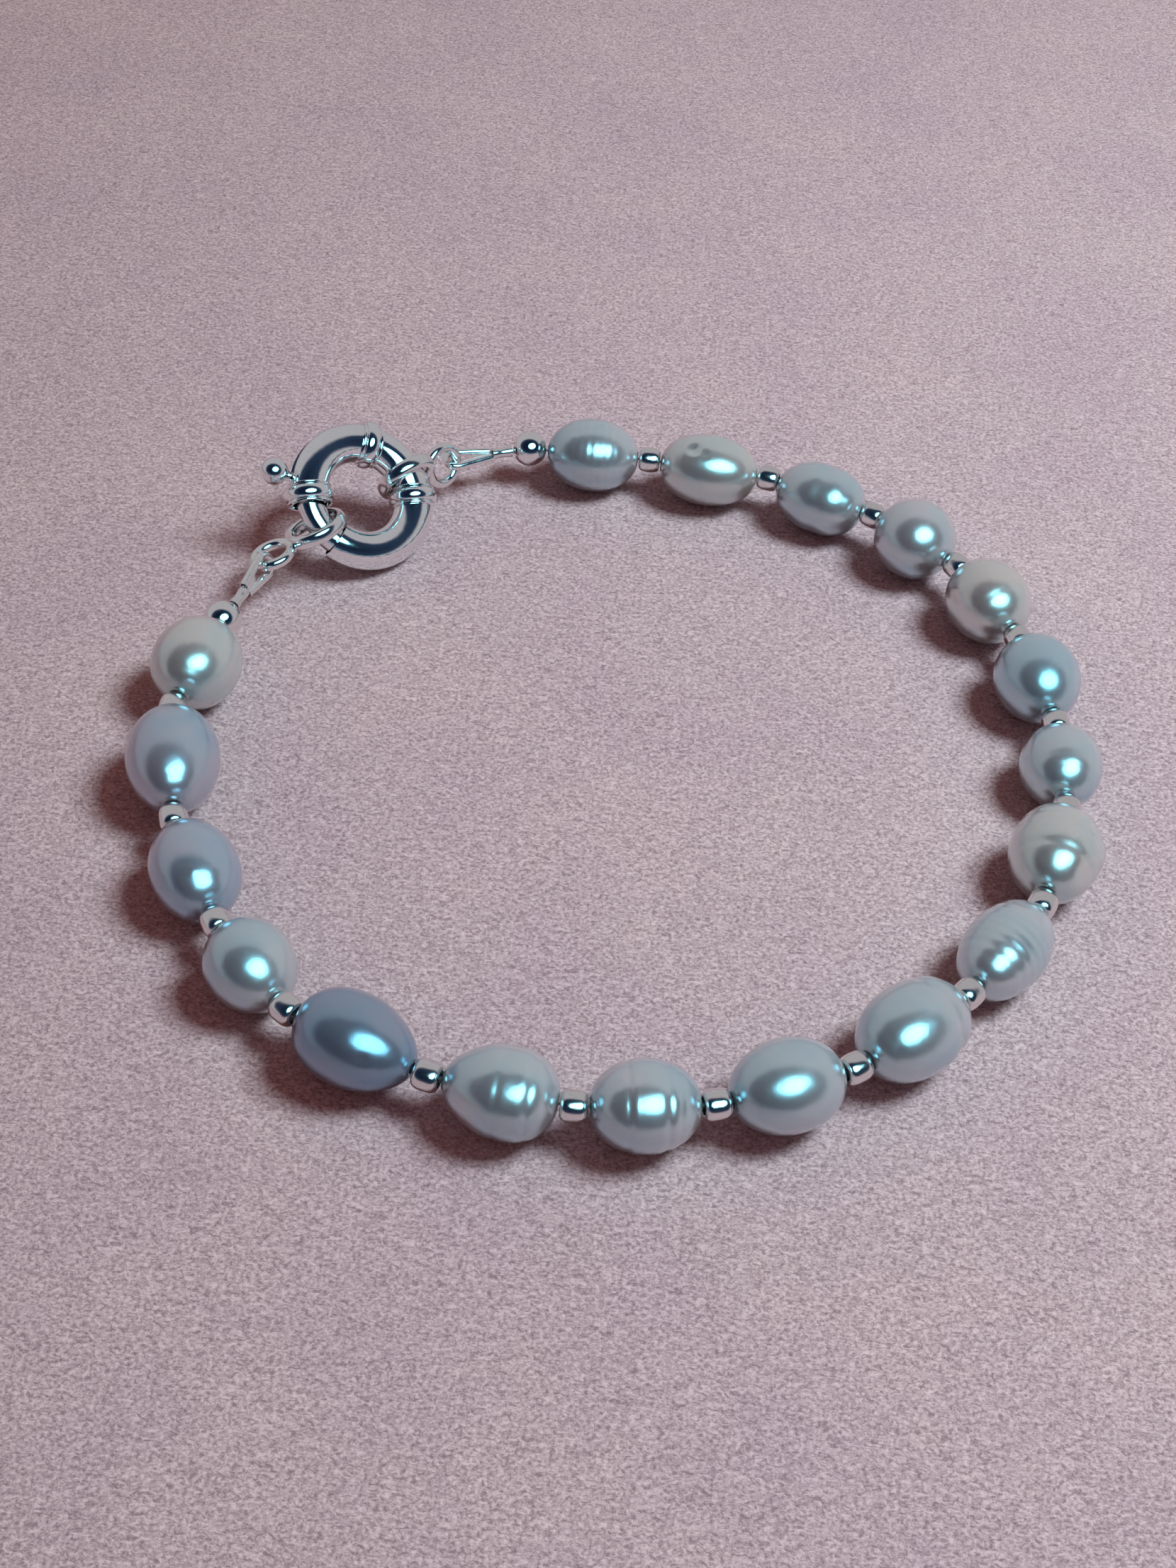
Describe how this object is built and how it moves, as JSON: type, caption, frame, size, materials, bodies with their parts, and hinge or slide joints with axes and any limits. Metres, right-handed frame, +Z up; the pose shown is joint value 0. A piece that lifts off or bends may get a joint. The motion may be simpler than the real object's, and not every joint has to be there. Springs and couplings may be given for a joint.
{
  "type": "pearl bracelet",
  "caption": "Bracelet of oval pearls and small round metal beads strung on wire, closed by a bolt-ring clasp held on figure-of-eight links.",
  "frame": {"origin": "middle of the footprint, on the surface that the bracelet lies on", "axes": "+Z up from that surface, +X to the picture's right, +Y away from its viewer"},
  "size_m": [0.0712, 0.0712, 0.0089],
  "materials": {
    "pearl": "satin",
    "spacer_silver": "polished",
    "ball_silver": "polished",
    "crimp_silver": "polished",
    "guard_silver": "polished",
    "link_silver": "polished",
    "clasp_silver": "polished",
    "bolt_silver": "polished",
    "steel_wire": "satin"
  },
  "bodies": {
    "bracelet": {"beading_wire": "steel_wire", "clasp_body": "clasp_silver", "crimp_tube_a": "crimp_silver", "crimp_tube_b": "crimp_silver", "eight_link_a": "link_silver", "eight_link_b": "link_silver", "end_ball_a": "ball_silver", "end_ball_b": "ball_silver", "pearl_01": "pearl", "pearl_02": "pearl", "pearl_03": "pearl", "pearl_04": "pearl", "pearl_05": "pearl", "pearl_06": "pearl", "pearl_07": "pearl", "pearl_08": "pearl", "pearl_09": "pearl", "pearl_10": "pearl", "pearl_11": "pearl", "pearl_12": "pearl", "pearl_13": "pearl", "pearl_14": "pearl", "pearl_15": "pearl", "pearl_16": "pearl", "pearl_17": "pearl", "pearl_18": "pearl", "spacer_01": "spacer_silver", "spacer_02": "spacer_silver", "spacer_03": "spacer_silver", "spacer_04": "spacer_silver", "spacer_05": "spacer_silver", "spacer_06": "spacer_silver", "spacer_07": "spacer_silver", "spacer_08": "spacer_silver", "spacer_09": "spacer_silver", "spacer_10": "spacer_silver", "spacer_11": "spacer_silver", "spacer_12": "spacer_silver", "spacer_13": "spacer_silver", "spacer_14": "spacer_silver", "spacer_15": "spacer_silver", "spacer_16": "spacer_silver", "spacer_17": "spacer_silver", "wire_guard_a": "guard_silver", "wire_guard_b": "guard_silver"},
    "bolt": {"clasp_bolt": "bolt_silver"}
  },
  "joints": [
    {"name": "bolt_opening", "type": "hinge", "parent": "bracelet", "child": "bolt", "pos_m": [-0.02251, 0.02257, 0.00447], "axis": [-0.4565, 0.4332, -0.7771], "range_deg": [0, 50], "stiffness_Nm_per_rad": 0.008, "springref_deg": -20.05}
  ]
}
